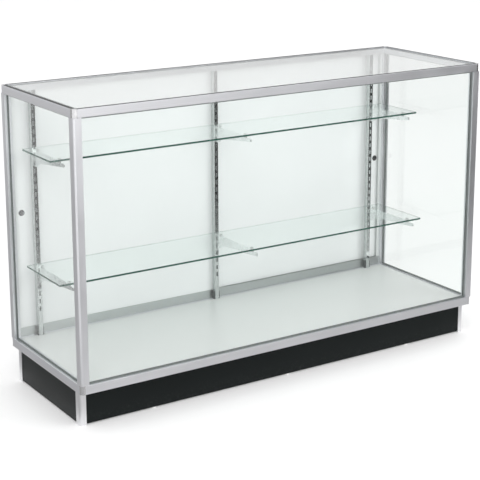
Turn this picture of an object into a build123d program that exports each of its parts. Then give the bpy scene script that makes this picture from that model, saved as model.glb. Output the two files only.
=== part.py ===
"""Glass counter showcase: aluminium frame, black kick base, two glass shelves, bypass rear doors.

Millimetres, +Z up. X runs along the width, the customer's side faces -Y and the clerk's side +Y.
The origin is on the floor, under the middle of the case.
"""
import os

from build123d import *

os.makedirs("parts", exist_ok=True)

# ---------------------------------------------------------------- driving dimensions
WIDTH = 1524.0  # 60 in
DEPTH = 508.0  # 20 in
HEIGHT = 965.0  # 38 in
BASE_HEIGHT = 110.0  # floor to the underside of the frame
SLOT_PITCH = 25.4  # the 1 in pitch of slotted shelf standards

# frame extrusions; v is measured inward from the outer face
FRAME = 27.0  # width of every frame section
TOP_RAIL_HEIGHT = 26.0
BOTTOM_RAIL_HEIGHT = 28.0
CORNER = 14.0  # side of the corner casting that shows between two rails
CORNER_RADIUS = 13.0
POST_RADIUS = 6.0
EDGE_ROUND = 1.5
GROOVE_START = 8.5
GROOVE_WIDTH = 9.0
GROOVE_DEPTH = 8.0
TOP_LEDGE = 17.0  # height of the rebate that carries the top pane
CHAMBER_WALL = 2.5
TOP_CHAMBER = (15.0, 23.5)  # low and high side of the hollow in a top rail
TOP_CHAMBER_END = 12.0
BOTTOM_CHAMBER = (2.5, 17.5)
POST_CHAMBER = (3.0, 14.0)
DECK_FLANGE = 20.0  # reach of the bottom rail's flange under the deck
FLANGE_THICKNESS = 2.0

# glass
PANE_THICKNESS = 6.0
PANE_INSET = 10.0  # outer face of the frame to the outer face of an upright pane
PANE_BITE = 6.5  # how far a pane's edge sits in its groove
SEAL_LIP = 4.0  # how far the seal shows past the frame
TOP_PANE_CORNER = 2.0
FIT = 0.1

# deck and base
DECK_THICKNESS = 25.0
KICK_SETBACK = 31.0  # front and rear
KICK_SIDE_SETBACK = 8.0
BOARD = 16.0
BOARD_GAP = 4.0  # floor to the lower edge of the kick boards
TRIM_WALL = 2.0
TRIM_FRONT = 21.0
TRIM_SIDE = 27.0
TRIM_RADIUS = 8.0
TRIM_WEB = (10.0, 12.0)  # start and end of the wall that the front board butts against
BASE_GLIDE_RADIUS = 8.0
BASE_GLIDE_CHAMFER = 1.0

# shelf standards, brackets and shelves
STANDARD_X = (-668.0, 0.0, 668.0)
STANDARD_FACE = 217.0  # Y of the slotted face
STANDARD_WIDTH = 15.0
STANDARD_DEPTH = 18.0
STANDARD_EDGE_ROUND = 1.0
STEEL = 1.5
SLOT_WIDTH = 6.0
SLOT_HEIGHT = 15.0
SLOT_CORNER = 1.0
FIRST_SLOT = 228.0
SLOT_COUNT = 27
BLADE = 3.0
NOSE_DROP = 2.0  # the blade's upper edge falls by this much towards the nose
NOSE_HEIGHT = 10.0
NOSE_RADIUS = 2.5
KNEE = (45.0, 33.0)  # distance from the standard, depth below the blade's top
HEEL = (12.0, 50.0)
HOOK_THICKNESS = 2.1
HOOK_NECK = 9.0
HOOK_DROP = 4.0
HOOK_SLOTS = {"upper": 20, "lower": 5}  # slot that takes the top hook of each bracket
BLADE_TOP_ABOVE_SLOT = 14.4
PAD_HEIGHT = 6.0
PAD_WIDTH = 7.0
PAD_LENGTH = 12.0
PAD_CORNER = 2.0
PAD_FROM_EDGE = 24.0
SHELF_LENGTH = 1422.0  # 56 in
SHELF_CORNER = 3.0
SHELF_BACK = 214.0
SHELF_FRONT = {"upper": 11.0, "lower": -28.0}
NOSE_PAST_SHELF = 10.0

# rear doors and their tracks; v is measured inward from the rear face
TRACK_INSET = 2.0
TRACK_WIDTH = 16.0
TRACK_WALL = 1.3
TRACK_GROOVE = 6.0
TOP_TRACK_HEIGHT = 12.9
TOP_TRACK_RECESS = 13.0
BOTTOM_TRACK_HEIGHT = 30.0
BOTTOM_GROOVE_DEPTH = 6.0
JAMB_REACH = 12.0
DOOR_THICKNESS = 4.8
DOOR_OVERLAP = 36.0
DOOR_END_GAP = 0.5
DOOR_INTO_TOP_TRACK = 5.4
GLIDE_HEIGHT = 3.0
GLIDE_LENGTH = 40.0
GLIDE_SIDE_PLAY = 0.3
TONGUE_LENGTH = 30.0
TONGUE_THICKNESS = 2.0
TONGUE = 8.0
PULL_FROM_END = 22.0
PULL_HEIGHT = 550.0  # above the floor
PULL_FLANGE = 20.0
PULL_BARREL = 17.0
PULL_WALL = 1.0
PULL_RIM = 1.4  # flat part of the rim inside the barrel's radius
PULL_DISH = 0.6  # the floor of the cup lies this far behind the door's front face

# ---------------------------------------------------------------- derived positions
HALF_WIDTH = WIDTH / 2
HALF_DEPTH = DEPTH / 2
POST_BOTTOM = BASE_HEIGHT + BOTTOM_RAIL_HEIGHT
POST_TOP = HEIGHT - TOP_RAIL_HEIGHT
INNER_X = HALF_WIDTH - FRAME
INNER_Y = HALF_DEPTH - FRAME
DECK_BOTTOM = BASE_HEIGHT + FLANGE_THICKNESS
DECK_TOP = DECK_BOTTOM + DECK_THICKNESS
KICK_X = HALF_WIDTH - KICK_SIDE_SETBACK
KICK_Y = HALF_DEPTH - KICK_SETBACK
BOTTOM_TRACK_TOP = POST_BOTTOM + BOTTOM_TRACK_HEIGHT
TRACK_FRONT = HALF_DEPTH - TRACK_INSET - TRACK_WIDTH
TRACK_BACK = HALF_DEPTH - TRACK_INSET
MIDDLE_WALL = TRACK_WIDTH - 2 * TRACK_WALL - 2 * TRACK_GROOVE
GROOVE_LOW_Y = (TRACK_FRONT + TRACK_WALL, TRACK_FRONT + TRACK_WALL + TRACK_GROOVE + MIDDLE_WALL)
DOOR_MIDDLE_Y = {
    "left": GROOVE_LOW_Y[0] + TRACK_GROOVE / 2,
    "right": GROOVE_LOW_Y[1] + TRACK_GROOVE / 2,
}
DOOR_SIGN = {"left": -1, "right": 1}
DOOR_BOTTOM = BOTTOM_TRACK_TOP - BOTTOM_GROOVE_DEPTH + GLIDE_HEIGHT + FIT
DOOR_TOP = POST_TOP + DOOR_INTO_TOP_TRACK
BLADE_TOP = {
    level: FIRST_SLOT + SLOT_PITCH * slot + BLADE_TOP_ABOVE_SLOT for level, slot in HOOK_SLOTS.items()
}
SHELF_BOTTOM = {level: top + PAD_HEIGHT for level, top in BLADE_TOP.items()}


# ---------------------------------------------------------------- helpers
def save(piece, name):
    """Label a finished sub-part and write it as its own STEP file."""
    piece.part.label = name
    export_step(piece.part, f"parts/{name}.step")


def block(low, high, mode=Mode.ADD):
    """A box between two opposite corners, in the part being built."""
    middle = tuple((a + b) / 2 for a, b in zip(low, high))
    size = [b - a for a, b in zip(low, high)]
    with Locations(middle):
        Box(*size, mode=mode)


def rectangle(low, high, mode=Mode.ADD):
    """A rectangle between two opposite corners, in the sketch being built."""
    with Locations(((low[0] + high[0]) / 2, (low[1] + high[1]) / 2)):
        Rectangle(high[0] - low[0], high[1] - low[1], mode=mode)


def save_corner_set(corner, names):
    """Write a front-left corner piece and its three mirror images."""
    for name, planes in names.items():
        with BuildPart() as copy:
            add(corner.part)
            for plane in planes:
                mirror(about=plane, mode=Mode.REPLACE)
        save(copy, name)


def four_corners(corner):
    """One part that holds a front-left corner piece and its three mirror images."""
    with BuildPart() as group:
        add(corner.part)
        mirror(about=Plane.YZ)
        mirror(about=Plane.XZ)
    return group


# ---------------------------------------------------------------- frame extrusions
def top_rail_section(plane, is_rear):
    """Top rail: rebate for the top pane, screw chamber, and a groove below for glass or door track."""
    with BuildSketch(plane) as section:
        with BuildLine():
            Polyline(
                (0, 0),
                (FRAME, 0),
                (FRAME, TOP_LEDGE),
                (CORNER, TOP_LEDGE),
                (CORNER, TOP_RAIL_HEIGHT),
                (0, TOP_RAIL_HEIGHT),
                close=True,
            )
        make_face()
        outer_edge = vertices().group_by(Axis.X)[0]
        fillet(outer_edge, EDGE_ROUND)
        rectangle((CHAMBER_WALL, TOP_CHAMBER[0]), (TOP_CHAMBER_END, TOP_CHAMBER[1]), Mode.SUBTRACT)
        if is_rear:
            rectangle((TRACK_INSET, 0), (TRACK_INSET + TRACK_WIDTH, TOP_TRACK_RECESS), Mode.SUBTRACT)
        else:
            rectangle((GROOVE_START, 0), (GROOVE_START + GROOVE_WIDTH, GROOVE_DEPTH), Mode.SUBTRACT)
    return section.sketch


def bottom_rail_section(plane, is_rear):
    """Bottom rail: glazing groove on top, screw chamber, and a flange that carries the deck."""
    with BuildSketch(plane) as section:
        with BuildLine():
            Polyline(
                (0, 0),
                (FRAME + DECK_FLANGE, 0),
                (FRAME + DECK_FLANGE, FLANGE_THICKNESS),
                (FRAME, FLANGE_THICKNESS),
                (FRAME, BOTTOM_RAIL_HEIGHT),
                (0, BOTTOM_RAIL_HEIGHT),
                close=True,
            )
        make_face()
        outer_edge = vertices().group_by(Axis.X)[0]
        fillet(outer_edge, EDGE_ROUND)
        rectangle(
            (CHAMBER_WALL, BOTTOM_CHAMBER[0]),
            (FRAME - CHAMBER_WALL, BOTTOM_CHAMBER[1]),
            Mode.SUBTRACT,
        )
        if not is_rear:
            rectangle(
                (GROOVE_START, BOTTOM_RAIL_HEIGHT - GROOVE_DEPTH),
                (GROOVE_START + GROOVE_WIDTH, BOTTOM_RAIL_HEIGHT),
                Mode.SUBTRACT,
            )
    return section.sketch


def rail(section, is_rear, side, base_z, height):
    """A rail along one side of the case: square ends at the corner casting, then a mitre."""
    turn = {"front": 0, "right": 90, "rear": 180, "left": -90}[side]
    along_width = side in ("front", "rear")
    outer = HALF_DEPTH if along_width else HALF_WIDTH
    half_length = HALF_WIDTH if along_width else HALF_DEPTH
    reach = FRAME + DECK_FLANGE
    section_plane = Plane(origin=(0, -outer, base_z), x_dir=(0, 1, 0), z_dir=(1, 0, 0))
    with BuildPart() as straight:
        extrude(section(section_plane, is_rear), amount=half_length, both=True)
        with BuildSketch(Plane.XY.offset(base_z)):
            with BuildLine():
                Polyline(
                    (CORNER - half_length, -outer),
                    (half_length - CORNER, -outer),
                    (half_length - CORNER, CORNER - outer),
                    (half_length - reach, reach - outer),
                    (reach - half_length, reach - outer),
                    (CORNER - half_length, CORNER - outer),
                    close=True,
                )
            make_face()
        extrude(amount=height, mode=Mode.INTERSECT)
    with BuildPart() as placed:
        add(straight.part, rotation=(0, 0, turn))
    return placed


for side_name in ("front", "rear", "left", "right"):
    rear_side = side_name == "rear"
    top_rail = rail(top_rail_section, rear_side, side_name, POST_TOP, TOP_RAIL_HEIGHT)
    save(top_rail, f"top_rail_{side_name}")
    bottom_rail = rail(bottom_rail_section, rear_side, side_name, BASE_HEIGHT, BOTTOM_RAIL_HEIGHT)
    save(bottom_rail, f"bottom_rail_{side_name}")


def post(is_rear):
    """Front-left corner post: rounded outer corner, screw chamber, and a groove for each pane."""
    with BuildPart() as piece:
        with BuildSketch(Plane((-HALF_WIDTH, -HALF_DEPTH, POST_BOTTOM))):
            Rectangle(FRAME, FRAME, align=(Align.MIN, Align.MIN))
            outer_corner = vertices().group_by(Axis.X)[0].sort_by(Axis.Y)[0]
            fillet(outer_corner, POST_RADIUS)
            low, high = POST_CHAMBER
            rectangle((low, low), (high, high), Mode.SUBTRACT)
            groove_end = GROOVE_START + GROOVE_WIDTH
            rectangle((GROOVE_START, FRAME - GROOVE_DEPTH), (groove_end, FRAME), Mode.SUBTRACT)
            if not is_rear:
                rectangle((FRAME - GROOVE_DEPTH, GROOVE_START), (FRAME, groove_end), Mode.SUBTRACT)
        extrude(amount=POST_TOP - POST_BOTTOM)
    return piece


save_corner_set(post(False), {"post_front_left": (), "post_front_right": (Plane.YZ,)})
save_corner_set(post(True), {"post_rear_left": (Plane.XZ,), "post_rear_right": (Plane.XZ, Plane.YZ)})


SPIGOT_LENGTH = 25.0
POST_SPIGOT_LENGTH = 22.0


def corner_casting(base_z, height, chamber, chamber_end, spigot_into_post):
    """Three-way casting: a rounded corner that shows, and spigots into two rails and the post."""
    x, y = -HALF_WIDTH, -HALF_DEPTH
    near = CHAMBER_WALL + FIT
    far = CORNER + SPIGOT_LENGTH
    side = chamber_end - FIT
    low, high = base_z + chamber[0] + FIT, base_z + chamber[1] - FIT
    post_low, post_high = spigot_into_post
    post_near, post_far = POST_CHAMBER[0] + FIT, POST_CHAMBER[1] - FIT
    with BuildPart() as piece:
        block((x, y, base_z), (x + CORNER, y + CORNER, base_z + height))
        upright = edges().filter_by(Axis.Z).group_by(Axis.X)[0].sort_by(Axis.Y)[0]
        fillet(upright, CORNER_RADIUS)
        block((x + CORNER, y + near, low), (x + far, y + side, high))
        block((x + near, y + CORNER, low), (x + side, y + far, high))
        block((x + post_near, y + post_near, post_low), (x + post_far, y + post_far, post_high))
    return piece


top_casting = corner_casting(
    POST_TOP, TOP_RAIL_HEIGHT, TOP_CHAMBER, TOP_CHAMBER_END, (POST_TOP - POST_SPIGOT_LENGTH, POST_TOP)
)
save(four_corners(top_casting), "top_corner_castings")

bottom_casting = corner_casting(
    BASE_HEIGHT, BOTTOM_RAIL_HEIGHT, BOTTOM_CHAMBER, CORNER, (POST_BOTTOM, POST_BOTTOM + POST_SPIGOT_LENGTH)
)
save(four_corners(bottom_casting), "bottom_corner_castings")

# ---------------------------------------------------------------- glass and its seals
PANE_LOW = POST_BOTTOM - PANE_BITE
PANE_HIGH = POST_TOP + PANE_BITE
PANE_EDGE_ROUND = 0.6

with BuildPart() as glass_front:
    block(
        (-INNER_X - PANE_BITE, -HALF_DEPTH + PANE_INSET, PANE_LOW),
        (INNER_X + PANE_BITE, -HALF_DEPTH + PANE_INSET + PANE_THICKNESS, PANE_HIGH),
    )
    chamfer(edges().filter_by(Axis.Y, reverse=True), PANE_EDGE_ROUND)
save(glass_front, "glass_front")

with BuildPart() as seal_front:
    seal_low_y = -HALF_DEPTH + GROOVE_START + FIT
    seal_high_y = seal_low_y + GROOVE_WIDTH - 2 * FIT
    seal_reach = GROOVE_DEPTH - FIT
    block(
        (-INNER_X - seal_reach, seal_low_y, POST_BOTTOM - seal_reach),
        (INNER_X + seal_reach, seal_high_y, POST_TOP + seal_reach),
    )
    block(
        (-INNER_X + SEAL_LIP, seal_low_y, POST_BOTTOM + SEAL_LIP),
        (INNER_X - SEAL_LIP, seal_high_y, POST_TOP - SEAL_LIP),
        Mode.SUBTRACT,
    )
    block(
        (-INNER_X - PANE_BITE, -HALF_DEPTH + PANE_INSET, PANE_LOW),
        (INNER_X + PANE_BITE, -HALF_DEPTH + PANE_INSET + PANE_THICKNESS, PANE_HIGH),
        Mode.SUBTRACT,
    )
save(seal_front, "seal_front")

with BuildPart() as glass_left:
    block(
        (-HALF_WIDTH + PANE_INSET, -INNER_Y - PANE_BITE, PANE_LOW),
        (-HALF_WIDTH + PANE_INSET + PANE_THICKNESS, INNER_Y + PANE_BITE, PANE_HIGH),
    )
    chamfer(edges().filter_by(Axis.X, reverse=True), PANE_EDGE_ROUND)

with BuildPart() as seal_left:
    seal_low_x = -HALF_WIDTH + GROOVE_START + FIT
    seal_high_x = seal_low_x + GROOVE_WIDTH - 2 * FIT
    block(
        (seal_low_x, -INNER_Y - seal_reach, POST_BOTTOM - seal_reach),
        (seal_high_x, INNER_Y + seal_reach, POST_TOP + seal_reach),
    )
    block(
        (seal_low_x, -INNER_Y + SEAL_LIP, POST_BOTTOM + SEAL_LIP),
        (seal_high_x, INNER_Y - SEAL_LIP, POST_TOP - SEAL_LIP),
        Mode.SUBTRACT,
    )
    block(
        (-HALF_WIDTH + PANE_INSET, -INNER_Y - PANE_BITE, PANE_LOW),
        (-HALF_WIDTH + PANE_INSET + PANE_THICKNESS, INNER_Y + PANE_BITE, PANE_HIGH),
        Mode.SUBTRACT,
    )

save_corner_set(glass_left, {"glass_left": (), "glass_right": (Plane.YZ,)})
save_corner_set(seal_left, {"seal_left": (), "seal_right": (Plane.YZ,)})

# the top pane lies on a thin gasket in the rebate, 2 mm below the lip
TOP_PANE_INSET = CORNER + 1.0
GASKET = 1.0
LEDGE_Z = POST_TOP + TOP_LEDGE

with BuildPart() as seal_top:
    block(
        (-HALF_WIDTH + TOP_PANE_INSET, -HALF_DEPTH + TOP_PANE_INSET, LEDGE_Z),
        (HALF_WIDTH - TOP_PANE_INSET, HALF_DEPTH - TOP_PANE_INSET, LEDGE_Z + GASKET),
    )
    block(
        (-INNER_X - GASKET, -INNER_Y - GASKET, LEDGE_Z),
        (INNER_X + GASKET, INNER_Y + GASKET, LEDGE_Z + GASKET),
        Mode.SUBTRACT,
    )
save(seal_top, "seal_top")

with BuildPart() as glass_top:
    with BuildSketch(Plane.XY.offset(LEDGE_Z + GASKET)):
        RectangleRounded(WIDTH - 2 * TOP_PANE_INSET, DEPTH - 2 * TOP_PANE_INSET, TOP_PANE_CORNER)
    extrude(amount=PANE_THICKNESS)
    chamfer(faces().sort_by(Axis.Z)[-1].edges(), PANE_EDGE_ROUND)
save(glass_top, "glass_top")

# ---------------------------------------------------------------- deck and kick base
BRACKET_X = (-600.0, 0.0, 600.0)
GLIDE_X = (-500.0, 0.0, 500.0)
BASE_BRACKET_WIDTH = 30.0
BASE_BRACKET_LEG = 40.0
SCREW_HEAD = 4.0  # radius
SCREW_HEAD_HEIGHT = 2.0
SCREW_SHANK = 1.7  # radius
SCREW_PILOT = 1.8  # radius
SCREW_LENGTH = 14.0
BOARD_BACK = KICK_Y - TRIM_WALL - BOARD  # Y of the inner face of the front and rear boards
LEG_SCREW_Y = BOARD_BACK - BASE_BRACKET_LEG / 2
LEG_SCREW_Z = BASE_HEIGHT - BASE_BRACKET_LEG / 2

with BuildPart() as deck_panel:
    block((FIT - INNER_X, FIT - INNER_Y, DECK_BOTTOM), (INNER_X - FIT, INNER_Y - FIT, DECK_TOP))
    chamfer(faces().sort_by(Axis.Z)[-1].edges(), PANE_EDGE_ROUND)
    for side in (-1, 1):
        with Locations([(x, side * LEG_SCREW_Y, DECK_BOTTOM) for x in BRACKET_X]):
            Cylinder(
                SCREW_PILOT,
                SCREW_LENGTH,
                align=(Align.CENTER, Align.CENTER, Align.MIN),
                mode=Mode.SUBTRACT,
            )
save(deck_panel, "deck_panel")

with BuildPart() as kick_board_front:
    board_end = KICK_X - TRIM_WEB[1] - FIT
    block((-board_end, TRIM_WALL - KICK_Y, BOARD_GAP), (board_end, -BOARD_BACK, BASE_HEIGHT))
    with Locations([(x, -BOARD_BACK, LEG_SCREW_Z) for x in BRACKET_X]):
        Cylinder(
            SCREW_PILOT,
            SCREW_LENGTH,
            rotation=(90, 0, 0),
            align=(Align.CENTER, Align.CENTER, Align.MIN),
            mode=Mode.SUBTRACT,
        )
save_corner_set(kick_board_front, {"kick_board_front": (), "kick_board_rear": (Plane.XZ,)})

with BuildPart() as kick_board_left:
    board_end = KICK_Y - BOARD - 2 * TRIM_WALL - FIT
    block((TRIM_WALL - KICK_X, -board_end, BOARD_GAP), (TRIM_WALL + BOARD - KICK_X, board_end, BASE_HEIGHT))
save_corner_set(kick_board_left, {"kick_board_left": (), "kick_board_right": (Plane.YZ,)})


def kick_corner_trim():
    """Extruded corner: rounded cover outside, and a channel for the end of each board."""
    front_end = TRIM_WALL + BOARD  # v where the front board's channel closes
    with BuildPart() as piece:
        with BuildSketch(Plane((-KICK_X, -KICK_Y, 0))):
            rectangle((0, 0), (TRIM_FRONT, TRIM_SIDE))
            outer_corner = vertices().group_by(Axis.X)[0].sort_by(Axis.Y)[0]
            fillet(outer_corner, TRIM_RADIUS)
            with BuildLine():
                FilletPolyline(
                    (TRIM_FRONT, TRIM_WALL),
                    (TRIM_WALL, TRIM_WALL),
                    (TRIM_WALL, TRIM_SIDE),
                    radius=TRIM_RADIUS - TRIM_WALL,
                )
                Polyline((TRIM_WALL, TRIM_SIDE), (TRIM_FRONT, TRIM_SIDE), (TRIM_FRONT, TRIM_WALL))
            make_face(mode=Mode.SUBTRACT)
            rectangle((TRIM_WEB[0], TRIM_WALL / 2), (TRIM_WEB[1], front_end + TRIM_WALL))
            rectangle((TRIM_WALL / 2, front_end), (TRIM_FRONT, front_end + TRIM_WALL))
            rectangle((front_end, front_end), (front_end + TRIM_WALL, TRIM_SIDE))
        extrude(amount=BASE_HEIGHT)
    return piece


save_corner_set(
    kick_corner_trim(),
    {
        "kick_trim_front_left": (),
        "kick_trim_front_right": (Plane.YZ,),
        "kick_trim_rear_left": (Plane.XZ,),
        "kick_trim_rear_right": (Plane.XZ, Plane.YZ),
    },
)

with BuildPart() as base_brackets:
    half = BASE_BRACKET_WIDTH / 2
    for x in BRACKET_X:
        corner_y = -BOARD_BACK
        block(
            (x - half, corner_y, BASE_HEIGHT - BASE_BRACKET_LEG),
            (x + half, corner_y + FLANGE_THICKNESS, DECK_BOTTOM),
        )
        block(
            (x - half, corner_y, BASE_HEIGHT),
            (x + half, corner_y + BASE_BRACKET_LEG, DECK_BOTTOM),
        )
    with Locations([(x, -LEG_SCREW_Y, BASE_HEIGHT) for x in BRACKET_X]):
        Cylinder(SCREW_PILOT, 2 * FLANGE_THICKNESS, mode=Mode.SUBTRACT)
    with Locations([(x, -BOARD_BACK, LEG_SCREW_Z) for x in BRACKET_X]):
        Cylinder(SCREW_PILOT, 3 * FLANGE_THICKNESS, rotation=(90, 0, 0), mode=Mode.SUBTRACT)
    mirror(about=Plane.XZ)
save(base_brackets, "base_brackets")

with BuildPart() as bracket_screws:
    with Locations([(x, -LEG_SCREW_Y, BASE_HEIGHT) for x in BRACKET_X]):
        Cylinder(SCREW_HEAD, SCREW_HEAD_HEIGHT, align=(Align.CENTER, Align.CENTER, Align.MAX))
        Cylinder(SCREW_SHANK, SCREW_LENGTH, align=(Align.CENTER, Align.CENTER, Align.MIN))
    with Locations([(x, FLANGE_THICKNESS - BOARD_BACK, LEG_SCREW_Z) for x in BRACKET_X]):
        Cylinder(
            SCREW_HEAD,
            SCREW_HEAD_HEIGHT,
            rotation=(90, 0, 0),
            align=(Align.CENTER, Align.CENTER, Align.MAX),
        )
        Cylinder(
            SCREW_SHANK, SCREW_LENGTH, rotation=(90, 0, 0), align=(Align.CENTER, Align.CENTER, Align.MIN)
        )
    mirror(about=Plane.XZ)
save(bracket_screws, "bracket_screws")

with BuildPart() as base_glides:
    with Locations([(x, -KICK_Y + TRIM_WALL + BOARD / 2, 0) for x in GLIDE_X]):
        Cylinder(BASE_GLIDE_RADIUS, BOARD_GAP, align=(Align.CENTER, Align.CENTER, Align.MIN))
    chamfer(faces().group_by(Axis.Z)[0].edges(), BASE_GLIDE_CHAMFER)
    mirror(about=Plane.XZ)
save(base_glides, "base_glides")


# ---------------------------------------------------------------- shelf standards
def standard(x):
    """Upright steel channel, open at the back, with a column of slots in its face."""
    half = STANDARD_WIDTH / 2
    back = STANDARD_FACE + STANDARD_DEPTH
    with BuildPart() as piece:
        block((x - half, STANDARD_FACE, POST_BOTTOM), (x + half, back, POST_TOP))
        face_edges = edges().filter_by(Axis.Z).group_by(Axis.Y)[0]
        fillet(face_edges, STANDARD_EDGE_ROUND)
        block(
            (x - half + STEEL, STANDARD_FACE + STEEL, POST_BOTTOM),
            (x + half - STEEL, back, POST_TOP),
            Mode.SUBTRACT,
        )
        slot_plane = Plane(origin=(x, STANDARD_FACE, FIRST_SLOT), x_dir=(1, 0, 0), z_dir=(0, -1, 0))
        with BuildSketch(slot_plane):
            with Locations([(0, index * SLOT_PITCH) for index in range(SLOT_COUNT)]):
                RectangleRounded(SLOT_WIDTH, SLOT_HEIGHT, SLOT_CORNER)
        extrude(amount=-2 * STEEL, mode=Mode.SUBTRACT)
    return piece


for place, standard_x in zip(("left", "middle", "right"), STANDARD_X):
    save(standard(standard_x), f"standard_{place}")

FOOT_WALL = 3.0
FOOT_BACK_WALL = 1.0
FOOT_SETBACK = 2.0  # the foot's cheeks start this far behind the slotted face
FOOT_HEIGHT = 26.0
with BuildPart() as standard_feet:
    for x in STANDARD_X:
        half = STANDARD_WIDTH / 2
        front = STANDARD_FACE + FOOT_SETBACK
        back = STANDARD_FACE + STANDARD_DEPTH
        foot_back = back + FOOT_BACK_WALL
        wall_low_y = INNER_Y + FIT
        foot_top = POST_BOTTOM + FOOT_HEIGHT
        block((x - half - FOOT_WALL, front, DECK_TOP), (x - half, foot_back, foot_top))
        block((x + half, front, DECK_TOP), (x + half + FOOT_WALL, foot_back, foot_top))
        block((x - half, wall_low_y, POST_BOTTOM), (x + half, foot_back, foot_top))
        block((x - half, STANDARD_FACE, POST_BOTTOM), (x + half, back, foot_top), Mode.SUBTRACT)
        block(
            (x - half - FOOT_WALL, INNER_Y, DECK_TOP),
            (x + half + FOOT_WALL, foot_back, POST_BOTTOM),
            Mode.SUBTRACT,
        )
save(standard_feet, "standard_feet")

CLIP_HALF = STANDARD_WIDTH / 2 - STEEL - 2 * FIT
CLIP_HEIGHT = 24.0
CLIP_THICKNESS = 2.0
with BuildPart() as standard_top_clips:
    for x in STANDARD_X:
        clip_front = STANDARD_FACE + STEEL
        block(
            (x - CLIP_HALF, clip_front, POST_TOP - CLIP_HEIGHT),
            (x + CLIP_HALF, clip_front + CLIP_THICKNESS, POST_TOP),
        )
        block(
            (x - CLIP_HALF, clip_front, POST_TOP - CLIP_THICKNESS),
            (x + CLIP_HALF, STANDARD_FACE + STANDARD_DEPTH, POST_TOP),
        )
save(standard_top_clips, "standard_top_clips")


# ---------------------------------------------------------------- shelf brackets, pads and shelves
def shelf_bracket(x, level):
    """Cantilever blade: two hooks drop behind the slotted face, the lower edge tapers to the nose."""
    top = BLADE_TOP[level]
    nose = SHELF_FRONT[level] - NOSE_PAST_SHELF
    upper_slot_floor = FIRST_SLOT + SLOT_PITCH * HOOK_SLOTS[level] - SLOT_HEIGHT / 2
    with BuildPart() as piece:
        with BuildSketch(Plane(origin=(x, 0, 0), x_dir=(0, 1, 0), z_dir=(1, 0, 0))):
            with BuildLine():
                Polyline(
                    (STANDARD_FACE, top),
                    (nose, top - NOSE_DROP),
                    (nose, top - NOSE_DROP - NOSE_HEIGHT),
                    (STANDARD_FACE - KNEE[0], top - KNEE[1]),
                    (STANDARD_FACE - HEEL[0], top - HEEL[1]),
                    (STANDARD_FACE, top - HEEL[1]),
                    close=True,
                )
            make_face()
            nose_corners = vertices().group_by(Axis.X)[0]
            fillet(nose_corners, NOSE_RADIUS)
            for step in (0, 1):
                floor = upper_slot_floor - step * SLOT_PITCH
                hook_front = STANDARD_FACE + STEEL + FIT
                hook_back = hook_front + HOOK_THICKNESS
                rectangle((STANDARD_FACE, floor), (hook_back, floor + HOOK_NECK))
                rectangle((hook_front, floor - HOOK_DROP), (hook_back, floor + HOOK_DROP))
        extrude(amount=BLADE / 2, both=True)
    return piece


def shelf_pads(level):
    """Rubber buttons on the blades, one near the front and one near the back of the shelf."""
    top = BLADE_TOP[level]
    nose = SHELF_FRONT[level] - NOSE_PAST_SHELF
    with BuildPart() as pads:
        for x in STANDARD_X:
            for pad_y in (SHELF_FRONT[level] + PAD_FROM_EDGE, SHELF_BACK - PAD_FROM_EDGE):
                with Locations((x, pad_y, top - NOSE_DROP)):
                    Box(
                        PAD_WIDTH,
                        PAD_LENGTH,
                        PAD_HEIGHT + NOSE_DROP,
                        align=(Align.CENTER, Align.CENTER, Align.MIN),
                    )
        upright_edges = edges().filter_by(Axis.Z)
        fillet(upright_edges, PAD_CORNER)
        for x in STANDARD_X:
            with BuildSketch(Plane(origin=(x, 0, 0), x_dir=(0, 1, 0), z_dir=(1, 0, 0))):
                with BuildLine():
                    Polyline(
                        (STANDARD_FACE, top),
                        (nose, top - NOSE_DROP),
                        (nose, top - NOSE_HEIGHT),
                        (STANDARD_FACE, top - NOSE_HEIGHT),
                        close=True,
                    )
                make_face()
            extrude(amount=BLADE / 2, both=True, mode=Mode.SUBTRACT)
    return pads


def shelf(level):
    """Loose glass shelf with polished edges, lying on the pads."""
    front, back = SHELF_FRONT[level], SHELF_BACK
    with BuildPart() as pane:
        with BuildSketch(Plane((0, (front + back) / 2, SHELF_BOTTOM[level]))):
            RectangleRounded(SHELF_LENGTH, back - front, SHELF_CORNER)
        extrude(amount=PANE_THICKNESS)
        level_faces = faces().filter_by(Axis.Z)
        chamfer(level_faces.edges(), PANE_EDGE_ROUND)
    return pane


for shelf_level in ("upper", "lower"):
    for place, standard_x in zip(("left", "middle", "right"), STANDARD_X):
        save(shelf_bracket(standard_x, shelf_level), f"bracket_{shelf_level}_{place}")
    save(shelf_pads(shelf_level), f"shelf_pads_{shelf_level}")
    save(shelf(shelf_level), f"shelf_{shelf_level}")

# ---------------------------------------------------------------- door tracks and jambs
TRACK_END = INNER_X - FIT


def cut_track_grooves(low_x, high_x, low_z, high_z):
    """The two side-by-side grooves that the doors run in."""
    for groove_y in GROOVE_LOW_Y:
        block((low_x, groove_y, low_z), (high_x, groove_y + TRACK_GROOVE, high_z), Mode.SUBTRACT)


with BuildPart() as door_track_top:
    track_top = POST_TOP + TOP_TRACK_HEIGHT
    block((-TRACK_END, TRACK_FRONT + FIT, POST_TOP), (TRACK_END, TRACK_BACK - FIT, track_top))
    cut_track_grooves(-TRACK_END, TRACK_END, POST_TOP, track_top - TRACK_WALL)
save(door_track_top, "door_track_top")

with BuildPart() as door_track_bottom:
    block((-TRACK_END, TRACK_FRONT, POST_BOTTOM), (TRACK_END, TRACK_BACK, BOTTOM_TRACK_TOP))
    cut_track_grooves(-TRACK_END, TRACK_END, BOTTOM_TRACK_TOP - BOTTOM_GROOVE_DEPTH, BOTTOM_TRACK_TOP)
    block(
        (-TRACK_END, TRACK_FRONT + TRACK_WALL, POST_BOTTOM + TRACK_WALL),
        (TRACK_END, TRACK_BACK - TRACK_WALL, BOTTOM_TRACK_TOP - BOTTOM_GROOVE_DEPTH - TRACK_WALL),
        Mode.SUBTRACT,
    )
save(door_track_bottom, "door_track_bottom")

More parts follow.
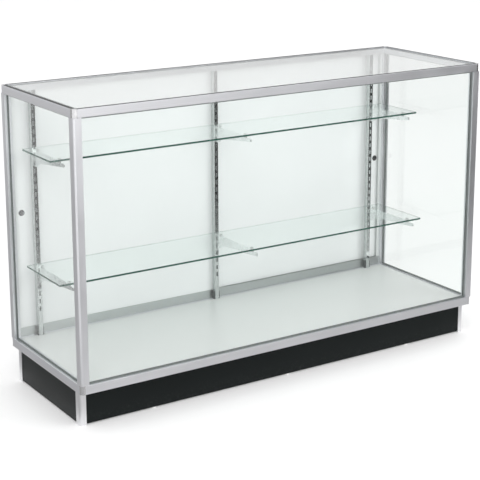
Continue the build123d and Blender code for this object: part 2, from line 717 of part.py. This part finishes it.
with BuildPart() as door_jamb_left:
    block((-INNER_X, TRACK_FRONT, BOTTOM_TRACK_TOP), (JAMB_REACH - INNER_X, TRACK_BACK, POST_TOP))
    cut_track_grooves(TRACK_WALL - INNER_X, JAMB_REACH - INNER_X, BOTTOM_TRACK_TOP, POST_TOP)
save_corner_set(door_jamb_left, {"door_jamb_left": (), "door_jamb_right": (Plane.YZ,)})


# ---------------------------------------------------------------- sliding doors
DOOR_OUTER_END = INNER_X - TRACK_WALL - DOOR_END_GAP
PULL_X = DOOR_OUTER_END - PULL_FROM_END
GLIDE_INSET = 80.0


def glide_places(name):
    """X of the two glides under a door."""
    sign = DOOR_SIGN[name]
    return (sign * (DOOR_OUTER_END - GLIDE_INSET), sign * (GLIDE_INSET - DOOR_OVERLAP / 2))


def door(name):
    """White hardboard door, with a hole for the finger pull and a slot for each glide's tongue."""
    sign = DOOR_SIGN[name]
    middle_y = DOOR_MIDDLE_Y[name]
    ends = sorted((sign * DOOR_OUTER_END, -sign * DOOR_OVERLAP / 2))
    with BuildPart() as panel:
        block(
            (ends[0], middle_y - DOOR_THICKNESS / 2, DOOR_BOTTOM),
            (ends[1], middle_y + DOOR_THICKNESS / 2, DOOR_TOP),
        )
        with Locations((sign * PULL_X, middle_y, PULL_HEIGHT)):
            Cylinder(PULL_BARREL / 2 + FIT, 2 * DOOR_THICKNESS, rotation=(90, 0, 0), mode=Mode.SUBTRACT)
        half_length, half_thickness = TONGUE_LENGTH / 2, TONGUE_THICKNESS / 2
        for x in glide_places(name):
            block(
                (x - half_length, middle_y - half_thickness, DOOR_BOTTOM),
                (x + half_length, middle_y + half_thickness, DOOR_BOTTOM + TONGUE),
                Mode.SUBTRACT,
            )
    return panel


def finger_pull(name):
    """Round cup: rim and floor on the showroom side, open towards the clerk."""
    middle_y = DOOR_MIDDLE_Y[name]
    front = middle_y - DOOR_THICKNESS / 2
    back = middle_y + DOOR_THICKNESS / 2
    x = DOOR_SIGN[name] * PULL_X
    flange, barrel = PULL_FLANGE / 2, PULL_BARREL / 2
    rim_front = front - PULL_WALL
    floor_front = front + PULL_DISH
    rim_inner = barrel - PULL_RIM
    with BuildPart() as pull:
        with BuildSketch(Plane(origin=(x, 0, PULL_HEIGHT), x_dir=(1, 0, 0), z_dir=(0, 0, 1))):
            with BuildLine():
                Polyline(
                    (0, floor_front),
                    (rim_inner - PULL_WALL, floor_front),
                    (rim_inner, rim_front),
                    (flange, rim_front),
                    (flange, front),
                    (barrel, front),
                    (barrel, back),
                    (barrel - PULL_WALL, back),
                    (barrel - PULL_WALL, floor_front + PULL_WALL),
                    (0, floor_front + PULL_WALL),
                    close=True,
                )
            make_face()
        revolve(axis=Axis((x, 0, PULL_HEIGHT), (0, 1, 0)))
    return pull


def door_glides(name):
    """Nylon glides that carry a door in its lower groove, each with a tongue up into the door."""
    middle_y = DOOR_MIDDLE_Y[name]
    half_width = TRACK_GROOVE / 2 - GLIDE_SIDE_PLAY
    half_length = GLIDE_LENGTH / 2
    tongue_reach = TONGUE_LENGTH / 2 - FIT
    tongue_side = TONGUE_THICKNESS / 2 - FIT
    with BuildPart() as glides:
        for x in glide_places(name):
            block(
                (x - half_length, middle_y - half_width, DOOR_BOTTOM - GLIDE_HEIGHT),
                (x + half_length, middle_y + half_width, DOOR_BOTTOM),
            )
            block(
                (x - tongue_reach, middle_y - tongue_side, DOOR_BOTTOM),
                (x + tongue_reach, middle_y + tongue_side, DOOR_BOTTOM + TONGUE - FIT),
            )
    return glides


for door_name in ("left", "right"):
    save(door(door_name), f"door_{door_name}")
    save(finger_pull(door_name), f"finger_pull_{door_name}")
    save(door_glides(door_name), f"door_glides_{door_name}")
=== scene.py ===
"""Looks of the glass counter showcase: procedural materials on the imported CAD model, studio and camera.

Metres, +Z up. The customer's side faces -Y and the clerk's side +Y.
"""

import math

import bpy
from mathutils import Matrix, Vector


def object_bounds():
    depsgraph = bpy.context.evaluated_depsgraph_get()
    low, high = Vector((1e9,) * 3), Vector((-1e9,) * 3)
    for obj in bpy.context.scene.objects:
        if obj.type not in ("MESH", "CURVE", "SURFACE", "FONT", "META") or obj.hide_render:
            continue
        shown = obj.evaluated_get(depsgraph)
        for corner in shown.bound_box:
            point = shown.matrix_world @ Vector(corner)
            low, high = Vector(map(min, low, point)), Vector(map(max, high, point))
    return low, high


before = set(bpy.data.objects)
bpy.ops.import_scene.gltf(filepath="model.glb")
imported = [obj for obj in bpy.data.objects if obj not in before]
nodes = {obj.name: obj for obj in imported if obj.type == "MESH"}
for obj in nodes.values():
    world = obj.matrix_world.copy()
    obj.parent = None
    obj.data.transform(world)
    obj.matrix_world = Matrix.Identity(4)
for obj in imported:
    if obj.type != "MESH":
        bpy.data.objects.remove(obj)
CAD_BOX = [list(corner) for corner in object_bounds()]

# ---------------------------------------------------------------- camera
CAMERA_PLACE = Vector((-2.3849, -3.6309, 1.6657))
CAMERA_YAW = 0.57297  # from +Y towards +X
CAMERA_PITCH = 0.23661  # down
CAMERA_ROLL = -0.00264
CAMERA_SHIFT = -0.13  # part of the look downwards is by shift, so that uprights lean in less
LENS = 101.58  # mm
SENSOR_WIDTH = 36.0  # mm


def make_camera():
    """Put the camera at the front left, looking down along its yaw and pitch."""
    ahead = Vector((
        math.sin(CAMERA_YAW) * math.cos(CAMERA_PITCH),
        math.cos(CAMERA_YAW) * math.cos(CAMERA_PITCH),
        -math.sin(CAMERA_PITCH),
    ))
    level = Vector((math.cos(CAMERA_YAW), -math.sin(CAMERA_YAW), 0.0))
    over = level.cross(ahead)
    right = level * math.cos(CAMERA_ROLL) + over * math.sin(CAMERA_ROLL)
    up = over * math.cos(CAMERA_ROLL) - level * math.sin(CAMERA_ROLL)
    data = bpy.data.cameras.new("camera")
    data.sensor_width = SENSOR_WIDTH
    data.lens = LENS
    data.shift_y = CAMERA_SHIFT
    camera = bpy.data.objects.new("camera", data)
    bpy.context.scene.collection.objects.link(camera)
    turn = Matrix((right, up, -ahead)).transposed().to_4x4()
    camera.matrix_world = Matrix.Translation(CAMERA_PLACE) @ turn
    bpy.context.scene.camera = camera


make_camera()


# ---------------------------------------------------------------- material helpers
MIDDLE = (0.3, 0.7)  # the part of a noise's range that is spread over the whole range of an effect
# sockets of the Mix node when it mixes colours
MIX_FACTOR, MIX_FIRST, MIX_SECOND, MIX_RESULT = 0, 6, 7, 2


def opaque(colour):
    """A plain colour with its alpha; a socket is left as it is."""
    return colour if isinstance(colour, bpy.types.NodeSocket) else (*colour, 1.0)


class Tree:
    """A material's node tree, with short calls for the nodes used here."""

    def __init__(self, name):
        self.material = bpy.data.materials.new(name)
        self.material.use_nodes = True
        self.tree = self.material.node_tree
        self.tree.nodes.clear()
        self.out = self.tree.nodes.new("ShaderNodeOutputMaterial")
        self.place = self.tree.nodes.new("ShaderNodeTexCoord").outputs["Object"]

    def link(self, source, target):
        """Join an output socket to an input socket."""
        self.tree.links.new(source, target)

    def feed(self, socket, value):
        """Join a socket to another one, or set it to a plain value."""
        if isinstance(value, bpy.types.NodeSocket):
            self.link(value, socket)
        else:
            socket.default_value = value

    def add(self, kind, **inputs):
        """A node with some of its inputs set to a value or joined to a socket."""
        node = self.tree.nodes.new(kind)
        for key, value in inputs.items():
            self.feed(node.inputs[key.replace("_", " ")], value)
        return node

    def scaled(self, scale):
        """Object coordinates, scaled along each axis."""
        return self.add("ShaderNodeMapping", Scale=scale, Vector=self.place).outputs["Vector"]

    def noise(self, vector, scale, detail, roughness):
        """Fractal noise, 0 to 1."""
        node = self.add("ShaderNodeTexNoise", Vector=vector, Scale=scale, Detail=detail, Roughness=roughness)
        return node.outputs["Fac"]

    def span(self, source, low, high, from_low=0.0, from_high=1.0):
        """Map one range of values onto another, clamped."""
        node = self.add("ShaderNodeMapRange", Value=source)
        node.inputs["From Min"].default_value = from_low
        node.inputs["From Max"].default_value = from_high
        node.inputs["To Min"].default_value = low
        node.inputs["To Max"].default_value = high
        return node.outputs["Result"]

    def math(self, operation, first, second=0.0, clamp=False):
        """One arithmetic step."""
        node = self.tree.nodes.new("ShaderNodeMath")
        node.operation = operation
        node.use_clamp = clamp
        for socket, value in zip(node.inputs, (first, second)):
            self.feed(socket, value)
        return node.outputs[0]

    def blend(self, factor, first, second):
        """A colour between two colours."""
        node = self.tree.nodes.new("ShaderNodeMix")
        node.data_type = "RGBA"
        self.link(factor, node.inputs[MIX_FACTOR])
        for number, colour in ((MIX_FIRST, first), (MIX_SECOND, second)):
            self.feed(node.inputs[number], opaque(colour))
        return node.outputs[MIX_RESULT]

    def mix_shaders(self, factor, first, second):
        """One shader where the factor is 0, the other where it is 1."""
        node = self.add("ShaderNodeMixShader")
        for socket, source in zip(node.inputs, (factor, first.outputs[0], second.outputs[0])):
            self.link(source, socket)
        return node

    def bump(self, height, distance):
        """A normal tilted by a height map; distance is the height in metres."""
        return self.add("ShaderNodeBump", Height=height, Distance=distance, Strength=1.0).outputs["Normal"]

    def normal_part(self, axis):
        """How squarely a face looks along one axis of the object, 0 to 1."""
        source = self.tree.nodes.new("ShaderNodeTexCoord").outputs["Normal"]
        split = self.add("ShaderNodeSeparateXYZ", Vector=source)
        return self.math("ABSOLUTE", split.outputs["XYZ".index(axis)])

    def coordinate(self, axis):
        """One object coordinate, in metres."""
        split = self.add("ShaderNodeSeparateXYZ", Vector=self.place)
        return split.outputs["XYZ".index(axis)]

    def surface(self, shader):
        """Use a shader as the material's surface."""
        self.link(shader.outputs[0], self.out.inputs["Surface"])
        return self.material


def principled(tree, colour, roughness, normal, **values):
    """A Principled shader with a colour and roughness from nodes or plain values."""
    shader = tree.add("ShaderNodeBsdfPrincipled", Roughness=roughness, Normal=normal, **values)
    tree.feed(shader.inputs["Base Color"], opaque(colour))
    return shader


def stretched(axis, along, across):
    """Texture scale for a grain that runs along one axis."""
    return tuple(along if name == axis else across for name in "XYZ")


DIE_LINE_DEPTH = 0.00001
# painted shade: the dark colour put on the up-facing faces of the top lip
LIP_PAINTED_SHADE_TINT = (0.055, 0.062, 0.062)
GLASS_IOR = 1.5
DUST_TINT = (0.30, 0.30, 0.29)
DUST_HEIGHT = 0.05  # dust thins out up to this height


def anodised(name, axis, colour, low, high, lip_painted_shade=None, metallic=1.0):
    """Satin anodised aluminium: fine die lines along the extrusion, faint cloudiness, a few handling marks.

    The argument after the roughness range is a height and a distance from the middle. Faces that look up,
    above the height and nearer than the distance, get painted shade: a dark colour along the top lip.
    """
    tree = Tree(name)
    lines = tree.noise(tree.scaled(stretched(axis, 1.2, 420.0)), 1.0, 3.0, 0.6)
    clouds = tree.noise(tree.scaled(stretched(axis, 5.0, 14.0)), 1.0, 4.0, 0.6)
    marks = tree.noise(tree.scaled(stretched(axis, 40.0, 220.0)), 1.0, 6.0, 0.7)
    marks = tree.span(marks, 0.0, 1.0, 0.66, 0.74)
    shade = tree.math("ADD", tree.math("MULTIPLY", lines, 0.55), tree.math("MULTIPLY", clouds, 0.45))
    light = tuple(min(1.0, part * 1.04) for part in colour)
    dark = tuple(part * 0.94 for part in colour)
    tint = tree.blend(tree.span(shade, 0.0, 1.0, *MIDDLE), dark, light)
    rough = tree.span(clouds, low, high, *MIDDLE)
    rough = tree.math("ADD", rough, tree.math("MULTIPLY", marks, 0.08), clamp=True)
    # painted shade: up-facing faces high on the top rails, inside the outer edge, are darkened
    if lip_painted_shade is not None:
        height, reach = lip_painted_shade
        high_up = tree.math("GREATER_THAN", tree.coordinate("Z"), height)
        across = tree.math("ABSOLUTE", tree.coordinate("Y" if axis == "X" else "X"))
        inner = tree.math("LESS_THAN", across, reach)
        flat = tree.span(tree.normal_part("Z"), 0.0, 1.0, 0.6, 0.9)
        on_lip_painted_shade = tree.math("MULTIPLY", tree.math("MULTIPLY", high_up, inner), flat)
        tint = tree.blend(on_lip_painted_shade, tint, LIP_PAINTED_SHADE_TINT)
    normal = tree.bump(lines, DIE_LINE_DEPTH)
    return tree.surface(principled(tree, tint, rough, normal, Metallic=metallic))


def cast_metal(name, colour):
    """Polished die-cast corner: bright, with a faint orange peel left by the polishing."""
    tree = Tree(name)
    peel = tree.noise(tree.place, 260.0, 3.0, 0.5)
    haze = tree.noise(tree.place, 60.0, 4.0, 0.6)
    tint = tree.blend(haze, tuple(part * 0.92 for part in colour), colour)
    rough = tree.span(haze, 0.12, 0.24, *MIDDLE)
    return tree.surface(principled(tree, tint, rough, tree.bump(peel, 0.00003), Metallic=1.0))


def plated(name, colour, low, high, axis="Z", line_depth=0.000006):
    """Nickel or zinc plated steel: mirror-like with fine drawing lines and small smudges."""
    tree = Tree(name)
    lines = tree.noise(tree.scaled(stretched(axis, 2.0, 700.0)), 1.0, 3.0, 0.6)
    smudge = tree.noise(tree.place, 35.0, 4.0, 0.65)
    tint = tree.blend(tree.span(smudge, 0.0, 1.0, 0.35, 0.65), tuple(part * 0.88 for part in colour), colour)
    rough = tree.span(smudge, low, high, *MIDDLE)
    return tree.surface(principled(tree, tint, rough, tree.bump(lines, line_depth), Metallic=1.0))


def pane(name, face_axis, tint, edge_tint, edge_strength):
    """Float glass: clear across the pane, green and denser where one looks into a ground edge.

    Shadow rays and rays from diffuse and mirror bounces pass straight through, so that the inside is lit and
    the metal inside mirrors the room outside.
    """
    tree = Tree(name)
    ripple = tree.noise(tree.scaled((1.1, 1.1, 1.1)), 1.6, 1.0, 0.4)
    ripple_normal = tree.bump(ripple, 0.0004)
    dust = tree.noise(tree.place, 90.0, 5.0, 0.7)
    rough = tree.span(dust, 0.0, 0.03, 0.55, 0.8)
    clear = principled(tree, tint, rough, ripple_normal, IOR=GLASS_IOR, Transmission_Weight=1.0)
    grind = tree.noise(tree.place, 800.0, 3.0, 0.6)
    edge_colour = tree.blend(grind, tuple(part * 0.8 for part in edge_tint), edge_tint)
    edge = principled(
        tree, edge_colour, 0.12, tree.bump(grind, 0.00002), IOR=GLASS_IOR, Transmission_Weight=edge_strength,
    )
    flat = tree.span(tree.normal_part(face_axis), 0.0, 1.0, 0.45, 0.75)
    both = tree.mix_shaders(flat, edge, clear)
    through = tree.add("ShaderNodeBsdfTransparent", Color=(*[part ** 0.5 for part in tint], 1.0))
    rays = tree.tree.nodes.new("ShaderNodeLightPath")
    # a refracted ray counts as glossy too, and it has to meet the glass,
    # as does one reflected inside the pane
    glossy, refracted = rays.outputs["Is Glossy Ray"], rays.outputs["Is Transmission Ray"]
    mirrored = tree.math("SUBTRACT", glossy, refracted, clamp=True)
    inside = tree.tree.nodes.new("ShaderNodeNewGeometry").outputs["Backfacing"]
    first = tree.math("LESS_THAN", rays.outputs["Transparent Depth"], 0.5)
    mirrored = tree.math("SUBTRACT", mirrored, tree.math("MULTIPLY", inside, first), clamp=True)
    bounced = tree.math("MAXIMUM", rays.outputs["Is Diffuse Ray"], mirrored)
    passing = tree.math("MAXIMUM", rays.outputs["Is Shadow Ray"], bounced)
    return tree.surface(tree.mix_shaders(passing, both, through))


def rubber(name, colour):
    """Extruded rubber: dull, with a fine grain and a dusty bloom."""
    tree = Tree(name)
    grain = tree.noise(tree.place, 1400.0, 4.0, 0.6)
    bloom = tree.noise(tree.place, 24.0, 4.0, 0.6)
    tint = tree.blend(bloom, tuple(part * 0.82 for part in colour), tuple(part * 1.15 for part in colour))
    rough = tree.span(bloom, 0.55, 0.75)
    return tree.surface(principled(tree, tint, rough, tree.bump(grain, 0.00005)))


def laminate(name, colour, rough_low, rough_high, dust=0.0, mottle=1.0, gloss=0.5):
    """Melamine laminate: fine pebbled texture, faint mottling, and dust where it gathers low down."""
    tree = Tree(name)
    pebbles = tree.noise(tree.place, 620.0, 4.0, 0.55)
    patches = tree.noise(tree.place, 3.0, 3.0, 0.5)
    tint = tree.blend(
        tree.span(patches, 0.0, 1.0, *MIDDLE),
        tuple(part * (1.0 - 0.05 * mottle) for part in colour),
        tuple(min(1.0, part * (1.0 + 0.03 * mottle)) for part in colour),
    )
    if dust:
        low = tree.span(tree.coordinate("Z"), 1.0, 0.0, 0.0, DUST_HEIGHT)
        specks = tree.span(tree.noise(tree.place, 130.0, 6.0, 0.75), 0.0, 1.0, 0.52, 0.78)
        amount = tree.math("MULTIPLY", tree.math("MULTIPLY", low, specks), dust)
        tint = tree.blend(amount, tint, DUST_TINT)
    rough = tree.span(patches, rough_low, rough_high, *MIDDLE)
    normal = tree.bump(pebbles, 0.00003)
    return tree.surface(principled(tree, tint, rough, normal, Specular_IOR_Level=gloss))


def plastic(name, colour, roughness):
    """Moulded plastic with a fine eroded texture."""
    tree = Tree(name)
    grain = tree.noise(tree.place, 900.0, 3.0, 0.5)
    cloud = tree.noise(tree.place, 30.0, 3.0, 0.5)
    tint = tree.blend(cloud, tuple(part * 0.9 for part in colour), colour)
    rough = tree.span(cloud, roughness - 0.05, roughness + 0.08)
    return tree.surface(principled(tree, tint, rough, tree.bump(grain, 0.00004)))


# ---------------------------------------------------------------- materials
FRAME_TINT = (0.80, 0.803, 0.828)
TRACK_TINT = (0.52, 0.55, 0.545)
frame_along = {
    axis: anodised(f"frame_aluminium_{axis}", axis, FRAME_TINT, 0.38, 0.48) for axis in "XYZ"
}
track_metal = anodised("track_aluminium", "X", TRACK_TINT, 0.30, 0.40)
JAMB_METALLIC = 0.4  # less than real aluminium, so that the jambs look lighter than the rails
jamb_metal = anodised(
    "jamb_aluminium", "Z", (0.84, 0.86, 0.855), 0.36, 0.46, metallic=JAMB_METALLIC,
)
HALF_WIDTH, HALF_DEPTH, TOP_FACE = CAD_BOX[1]
# where the painted shade on the top lip begins, and the height above which it lies
LIP_PAINTED_SHADE_START = 0.002  # from the outer face of a top rail
LIP_PAINTED_SHADE_HEIGHT = TOP_FACE - 0.001
top_rail_along = {
    "X": anodised(
        "top_rail_aluminium_X", "X", FRAME_TINT, 0.38, 0.48, (LIP_PAINTED_SHADE_HEIGHT, HALF_DEPTH - LIP_PAINTED_SHADE_START),
    ),
    "Y": anodised(
        "top_rail_aluminium_Y", "Y", FRAME_TINT, 0.38, 0.48, (LIP_PAINTED_SHADE_HEIGHT, HALF_WIDTH - LIP_PAINTED_SHADE_START),
    ),
}
trim_metal = anodised("trim_aluminium", "Z", (0.83, 0.83, 0.845), 0.34, 0.44)
casting = cast_metal("corner_casting", (0.78, 0.78, 0.79))

CLEAR = (0.946, 0.963, 0.956)
EDGE_GREEN = (0.04, 0.13, 0.10)
glass = {axis: pane(f"clear_glass_{axis}", axis, CLEAR, EDGE_GREEN, 0.5) for axis in "XYZ"}
shelf_glass = pane("shelf_glass", "Z", (0.925, 0.965, 0.95), (0.01, 0.10, 0.07), 0.15)

seal_grey = rubber("seal_rubber", (0.17, 0.19, 0.185))
pad_grey = rubber("pad_rubber", (0.38, 0.40, 0.39))
white_deck = laminate("white_laminate", (0.71, 0.725, 0.715), 0.28, 0.33, mottle=0.3)
black_board = laminate("black_laminate", (0.005, 0.0075, 0.0075), 0.32, 0.40, dust=0.12, gloss=0.15)
door_white = laminate("door_board", (0.87, 0.88, 0.885), 0.36, 0.44, mottle=0.5)
standard_metal = plated("standard_steel", (0.66, 0.69, 0.685), 0.02, 0.06, line_depth=0.000002)
bracket_metal = plated("bracket_steel", (0.86, 0.885, 0.88), 0.18, 0.32, "Y")
zinc = plated("zinc_steel", (0.58, 0.59, 0.61), 0.25, 0.40, "X")
foot_black = plastic("dark_plastic", (0.05, 0.06, 0.057), 0.45)
nylon = plastic("nylon", (0.80, 0.80, 0.78), 0.42)
pull_plating = cast_metal("pull_plating", (0.62, 0.62, 0.64))
pull_black = plastic("pull_black", (0.004, 0.004, 0.004), 0.40)


def material_for(name):
    """The material of a CAD node, with its grain or face direction."""
    if name.startswith("post_"):
        return frame_along["Z"]
    if name.startswith(("top_rail", "bottom_rail")):
        along = top_rail_along if name.startswith("top_rail") else frame_along
        return along["X" if name.endswith(("front", "rear")) else "Y"]
    if name.startswith("kick_trim"):
        return trim_metal
    if name.startswith("kick_board"):
        return black_board
    if name.startswith("door_track"):
        return track_metal
    if name.startswith("door_jamb"):
        return jamb_metal
    if name.startswith("glass_"):
        return glass[{"front": "Y", "top": "Z", "left": "X", "right": "X"}[name.split("_")[1]]]
    if name.startswith("seal_"):
        return seal_grey
    if name.startswith("shelf_pads"):
        return pad_grey
    if name.startswith("bracket_") and name != "bracket_screws":
        return bracket_metal
    return {
        "top_corner_castings": casting,
        "bottom_corner_castings": casting,
        "shelf_upper": shelf_glass,
        "shelf_lower": shelf_glass,
        "deck_panel": white_deck,
        "door_left": door_white,
        "door_right": door_white,
        "door_glides_left": nylon,
        "door_glides_right": nylon,
        "base_glides": nylon,
        "standard_feet": foot_black,
        "standard_left": standard_metal,
        "standard_middle": standard_metal,
        "standard_right": standard_metal,
        "standard_top_clips": zinc,
        "base_brackets": zinc,
        "bracket_screws": zinc,
        "finger_pull_left": pull_plating,
        "finger_pull_right": pull_black,
    }[name]


for node_name, node in nodes.items():
    node.data.materials.clear()
    node.data.materials.append(material_for(node_name))

# ---------------------------------------------------------------- studio
FLOOR_RADIUS = 60.0
FLOOR_SIDES = 64
FLOOR_GLOW = 0.17
UNDER = 0.002  # height of the cards that lie on the floor
LEFT, RIGHT, FRONT = -2.6, 9.0, -5.0  # ends of the front wall card, and where it stands
NEAR_FRONT = -0.3  # where the front floor card ends
WALL_TOP = 2.6


def flat_mesh(name, corners):
    """A single face between the given corners."""
    mesh = bpy.data.meshes.new(name)
    mesh.from_pydata([tuple(corner) for corner in corners], [], [tuple(range(len(corners)))])
    piece = bpy.data.objects.new(name, mesh)
    bpy.context.scene.collection.objects.link(piece)
    return piece


def make_floor():
    """A seamless pale floor."""
    angles = [math.tau * i / FLOOR_SIDES for i in range(FLOOR_SIDES)]
    ring = [(FLOOR_RADIUS * math.cos(angle), FLOOR_RADIUS * math.sin(angle), 0.0) for angle in angles]
    floor = flat_mesh("floor", ring)
    tree = Tree("floor_paper")
    fibre = tree.noise(tree.place, 300.0, 3.0, 0.5)
    shader = principled(
        tree, (0.86, 0.86, 0.86), 0.6, tree.bump(fibre, 0.00002), Specular_IOR_Level=0.1,
    )
    shader.inputs["Emission Color"].default_value = (1.0, 1.0, 1.0, 1.0)
    shader.inputs["Emission Strength"].default_value = FLOOR_GLOW
    floor.data.materials.append(tree.surface(shader))


def make_card(name, corners, brightness):
    """A card that only shows in reflections.

    Its brightness is a number, or a function that makes the brightness from the card's tree.
    """
    card = flat_mesh(name, corners)
    tree = Tree(name)
    shade = tree.add("ShaderNodeEmission", Strength=brightness(tree) if callable(brightness) else brightness)
    card.data.materials.append(tree.surface(shade))
    card.visible_camera = False
    card.visible_diffuse = False
    card.visible_transmission = False
    card.visible_shadow = False
    card.visible_volume_scatter = False


def fade(tree, source, first, second, begin, end):
    """A smooth change from one number to another, between two values of a source."""
    node = tree.add("ShaderNodeMapRange", Value=source)
    node.interpolation_type = "SMOOTHSTEP"
    for key, value in (("From Min", begin), ("From Max", end), ("To Min", first), ("To Max", second)):
        tree.feed(node.inputs[key], value)
    return node.outputs["Result"]


def front_floor_shade(tree):
    """The floor in front: bright on the left, dark on the right, and grey close to the case."""
    across = tree.math("ADD", tree.coordinate("X"), tree.math("MULTIPLY", tree.coordinate("Y"), 0.45))
    left = fade(tree, tree.coordinate("Y"), 0.80, 0.66, -1.4, -0.4)
    right = fade(tree, tree.coordinate("Y"), 0.05, 0.60, -1.5, -0.4)
    return fade(tree, across, left, right, -1.7, -0.7)


def front_wall_shade(tree):
    """The wall in front of the case: bright on the left, dark on the right, and dimmer near the floor."""
    window = fade(tree, tree.coordinate("Z"), 0.8, 2.5, 0.0, 0.5)
    return fade(tree, tree.coordinate("X"), window, 0.05, 2.1, 4.3)


def make_lamp(name, place, target, size, energy, in_reflections=True):
    """A soft box aimed at a point, which may be left out of reflections."""
    data = bpy.data.lights.new(name, "AREA")
    data.shape = "RECTANGLE"
    data.size, data.size_y = size
    data.energy = energy
    lamp = bpy.data.objects.new(name, data)
    bpy.context.scene.collection.objects.link(lamp)
    lamp.location = place
    lamp.rotation_mode = "QUATERNION"
    lamp.rotation_quaternion = (Vector(target) - Vector(place)).to_track_quat("-Z", "Y")
    lamp.visible_glossy = in_reflections


def make_world():
    """Even white surroundings, dimmer in reflections."""
    world = bpy.data.worlds.new("studio")
    world.use_nodes = True
    bpy.context.scene.world = world
    tree = world.node_tree
    rays = tree.nodes.new("ShaderNodeLightPath")
    mirrored = tree.nodes.new("ShaderNodeMath")
    mirrored.operation = "SUBTRACT"
    mirrored.use_clamp = True
    tree.links.new(rays.outputs["Is Glossy Ray"], mirrored.inputs[0])
    tree.links.new(rays.outputs["Is Transmission Ray"], mirrored.inputs[1])
    dimmed = tree.nodes.new("ShaderNodeMix")
    dimmed.data_type = "RGBA"
    tree.links.new(mirrored.outputs[0], dimmed.inputs[MIX_FACTOR])
    dimmed.inputs[MIX_FIRST].default_value = (1.0, 1.0, 1.0, 1.0)
    dimmed.inputs[MIX_SECOND].default_value = (0.72, 0.72, 0.74, 1.0)
    tree.links.new(dimmed.outputs[MIX_RESULT], tree.nodes["Background"].inputs["Color"])


make_floor()
make_world()
make_card(
    "front_floor_card",
    [(-1.6, NEAR_FRONT, UNDER), (LEFT, FRONT, UNDER), (RIGHT, FRONT, UNDER), (RIGHT, NEAR_FRONT, UNDER)],
    front_floor_shade,
)
make_card(
    "front_wall_card",
    [(LEFT, FRONT, 0.0), (RIGHT, FRONT, 0.0), (RIGHT, FRONT, WALL_TOP), (LEFT, FRONT, WALL_TOP)],
    front_wall_shade,
)
make_card("back_card", [(-6.0, 6.0, 0.0), (12.0, 6.0, 0.0), (12.0, 6.0, 4.0), (-6.0, 6.0, 4.0)], 0.8)
make_card(
    "left_floor_card",
    [(-1.3, -0.3, UNDER), (-1.6, 9.0, UNDER), (-9.0, 9.0, UNDER), (-9.0, 1.0, UNDER)], 0.4,
)
make_card(
    "near_left_card",
    [(-0.8, -0.6, UNDER), (-1.3, -0.6, UNDER), (-1.6, 2.5, UNDER), (-0.8, 2.5, UNDER)], 0.42,
)
make_lamp("key", (-2.6, -2.8, 3.6), (0.0, 0.0, 0.5), (2.2, 2.2), 32.0)
make_lamp("fill", (2.9, -3.2, 1.9), (0.3, 0.2, 0.3), (2.2, 2.2), 44.0, in_reflections=False)
bpy.context.scene.view_settings.view_transform = "Standard"
